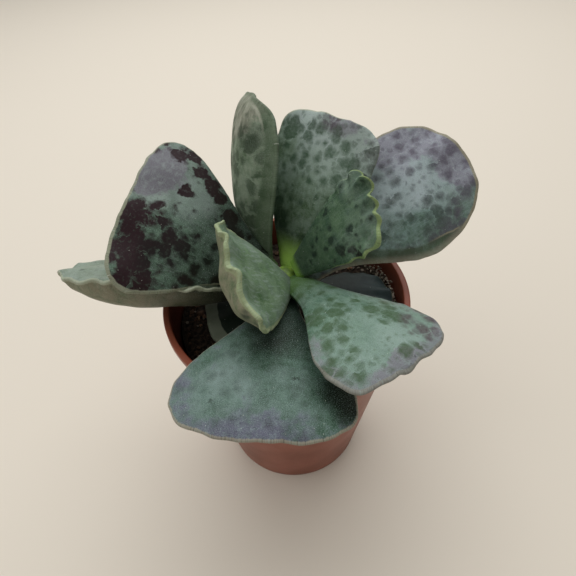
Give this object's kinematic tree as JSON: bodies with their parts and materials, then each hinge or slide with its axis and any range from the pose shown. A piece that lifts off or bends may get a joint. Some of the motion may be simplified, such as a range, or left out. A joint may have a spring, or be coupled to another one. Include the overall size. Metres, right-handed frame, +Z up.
{
  "type": "potted plover eggs plant",
  "caption": "Small succulent rosette of thick, spotted, fan-shaped leaves with wavy pale margins, on a short stem in a round tapered plastic nursery pot of soil.",
  "frame": {"origin": "centre of the pot's flat base, on the surface that the pot stands on", "axes": "+Z up along the pot's axis; -Y is the plant's front, +X its right"},
  "size_m": [0.0849, 0.0698, 0.0925],
  "materials": {
    "pot_plastic": "smooth terracotta-coloured plastic with a soft sheen",
    "soil": "dark moist peat with fine pale grit",
    "stem_skin": "fresh yellow-green, fleshy",
    "leaf_skin": "waxy blue-green with dark spots, a purple bloom and pale margins"
  },
  "bodies": {
    "root": {"pot": "pot_plastic", "soil": "soil", "stem": "stem_skin", "leaf_inner_right": "leaf_skin", "leaf_inner_left": "leaf_skin", "leaf_back_centre": "leaf_skin", "leaf_front_right": "leaf_skin", "leaf_front": "leaf_skin", "leaf_left": "leaf_skin", "leaf_back_right": "leaf_skin", "leaf_back_left": "leaf_skin", "leaf_far_left": "leaf_skin", "leaf_low_right": "leaf_skin", "leaf_low_left": "leaf_skin", "leaf_low_back": "leaf_skin"}
  },
  "joints": []
}
